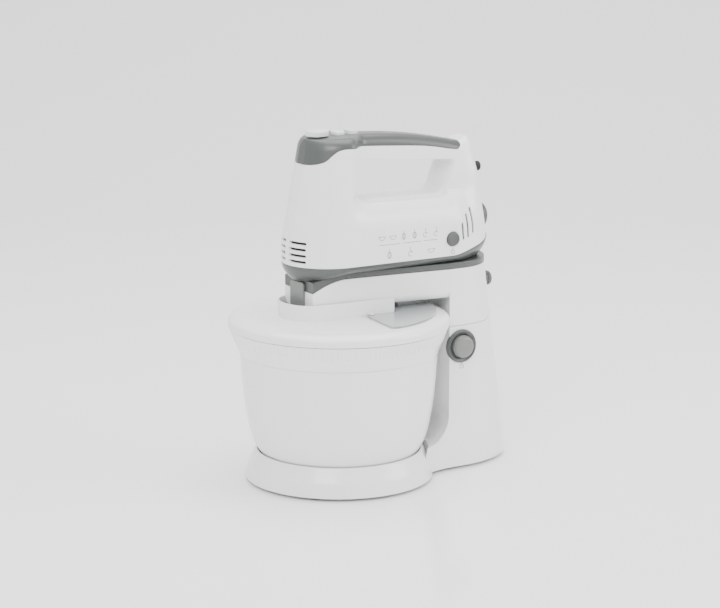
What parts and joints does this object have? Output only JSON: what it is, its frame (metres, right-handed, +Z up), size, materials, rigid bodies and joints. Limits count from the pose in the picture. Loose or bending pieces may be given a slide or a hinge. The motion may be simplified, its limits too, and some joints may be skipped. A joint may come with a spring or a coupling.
{
  "type": "stand mixer",
  "caption": "Hand mixer standing on a tilting arm above a lidded, gear-driven turning bowl on a round base with a rear column.",
  "frame": {"origin": "on the surface it stands on, under the middle of its bounding box", "axes": "+X to the column and rear foot, -X to the nose, +Z up"},
  "size_m": [0.3037, 0.219, 0.3506],
  "materials": {
    "white_abs": "gloss",
    "pale_abs": "gloss",
    "dark_abs": "satin",
    "grey_abs": "satin",
    "flap_plastic": "gloss, slightly clear",
    "acetal": "satin",
    "steel": "polished",
    "rubber": "matte",
    "laminated_iron": "matte",
    "copper": "polished",
    "carbon": "matte",
    "board": "matte"
  },
  "bodies": {
    "stand": {"base_shell": "white_abs", "base_plate": "pale_abs", "foot_front_left": "rubber", "foot_front_right": "rubber", "foot_rear_left": "rubber", "foot_rear_right": "rubber", "base_screw_left": "steel", "base_screw_right": "steel", "base_screw_front": "steel", "base_screw_rear": "steel", "bowl_spindle": "steel", "thrust_washer": "acetal", "hinge_bracket": "steel", "hinge_pin": "steel", "tilt_ring": "dark_abs"},
    "tilt_button": {"tilt_button": "grey_abs", "tilt_latch": "acetal", "tilt_spring": "steel"},
    "bowl": {"bowl": "white_abs", "bowl_ring": "white_abs"},
    "arm": {"arm_shell": "white_abs", "arm_trim": "dark_abs", "arm_frame": "steel", "front_hook": "grey_abs", "lid": "white_abs", "lid_clip": "pale_abs", "flap_pin": "acetal", "idler_pin": "steel"},
    "refill_flap": {"refill_flap": "flap_plastic"},
    "idler": {"idler_gear": "acetal"},
    "rear_knob": {"rear_knob": "dark_abs", "handset_catch": "acetal"},
    "handset": {"handset_shell": "white_abs", "handset_bottom": "dark_abs", "grip_cover": "dark_abs", "motor_stator": "laminated_iron", "front_bearing": "steel", "rear_bearing": "steel", "brush_left": "carbon", "brush_right": "carbon", "gearbox_plate": "grey_abs", "circuit_board": "board", "cord_gland": "rubber"},
    "motor": {"motor_shaft": "steel", "rotor_core": "laminated_iron", "commutator": "copper", "cooling_fan": "acetal"},
    "beater_left": {"worm_wheel_left": "acetal", "whisk_left": "steel", "bowl_pinion": "acetal"},
    "beater_right": {"worm_wheel_right": "acetal", "whisk_right": "steel"},
    "speed_selector": {"speed_selector": "pale_abs"},
    "turbo_button": {"turbo_button": "pale_abs"},
    "eject_button": {"eject_button": "pale_abs", "eject_plate": "acetal", "eject_spring": "steel"},
    "attachment_button": {"attachment_button": "dark_abs", "attachment_spring": "steel"},
    "port_cap": {"rear_port_cap": "dark_abs"}
  },
  "joints": [
    {"name": "arm_tilt", "type": "hinge", "parent": "stand", "child": "arm", "pos_m": [0.10565, 0, 0.172], "axis": [0, 1, 0], "range_deg": [0, 35]},
    {"name": "bowl_spin", "type": "hinge", "parent": "stand", "child": "bowl", "pos_m": [-0.04235, 0, 0], "axis": [0, 0, 1], "continuous": true},
    {"name": "tilt_button_press", "type": "slide", "parent": "stand", "child": "tilt_button", "axis": [0, 1, 0], "range_m": [0, 0.004], "stiffness_N_per_m": 900, "springref_m": -0.001},
    {"name": "flap_swivel", "type": "hinge", "parent": "arm", "child": "refill_flap", "pos_m": [-0.02935, -0.04, 0.1685], "axis": [0, 0, 1], "range_deg": [-72, 0]},
    {"name": "idler_spin", "type": "hinge", "parent": "arm", "child": "idler", "pos_m": [-0.09969, -0.03793, 0.15], "axis": [0, 0, 1], "continuous": true},
    {"name": "rear_knob_press", "type": "slide", "parent": "arm", "child": "rear_knob", "axis": [-1, 0, 0], "range_m": [0, 0.004], "stiffness_N_per_m": 900, "springref_m": -0.001},
    {"name": "handset_lift", "type": "slide", "parent": "arm", "child": "handset", "axis": [0, 0, 1], "range_m": [0, 0.011]},
    {"name": "motor_spin", "type": "hinge", "parent": "handset", "child": "motor", "pos_m": [-0.04235, 0, 0.25], "axis": [1, 0, 0], "continuous": true},
    {"name": "beater_left_spin", "type": "hinge", "parent": "handset", "child": "beater_left", "pos_m": [-0.07258, -0.02, 0.15], "axis": [0, 0, 1], "continuous": true},
    {"name": "beater_right_spin", "type": "hinge", "parent": "handset", "child": "beater_right", "pos_m": [-0.07258, 0.02, 0.15], "axis": [0, 0, 1], "continuous": true},
    {"name": "speed_turn", "type": "hinge", "parent": "handset", "child": "speed_selector", "pos_m": [-0.06635, 0, 0.3445], "axis": [0, 0, 1], "range_deg": [0, 150]},
    {"name": "turbo_press", "type": "slide", "parent": "handset", "child": "turbo_button", "axis": [0, 0, -1], "range_m": [0, 0.003], "stiffness_N_per_m": 700, "springref_m": -0.001},
    {"name": "eject_press", "type": "slide", "parent": "handset", "child": "eject_button", "axis": [0, 0, -1], "range_m": [0, 0.005], "stiffness_N_per_m": 900, "springref_m": -0.001},
    {"name": "attachment_press", "type": "slide", "parent": "handset", "child": "attachment_button", "axis": [0, 1, 0], "range_m": [0, 0.003], "stiffness_N_per_m": 700, "springref_m": -0.001},
    {"name": "port_cap_pull", "type": "slide", "parent": "handset", "child": "port_cap", "axis": [1, 0, 0], "range_m": [0, 0.012]}
  ],
  "couplings": [
    {"joint": "idler_spin", "follows": "bowl_spin", "ratio": 3.8947},
    {"joint": "beater_left_spin", "follows": "bowl_spin", "ratio": -10.571},
    {"joint": "beater_right_spin", "follows": "bowl_spin", "ratio": 10.571},
    {"joint": "motor_spin", "follows": "bowl_spin", "ratio": 95.143}
  ]
}
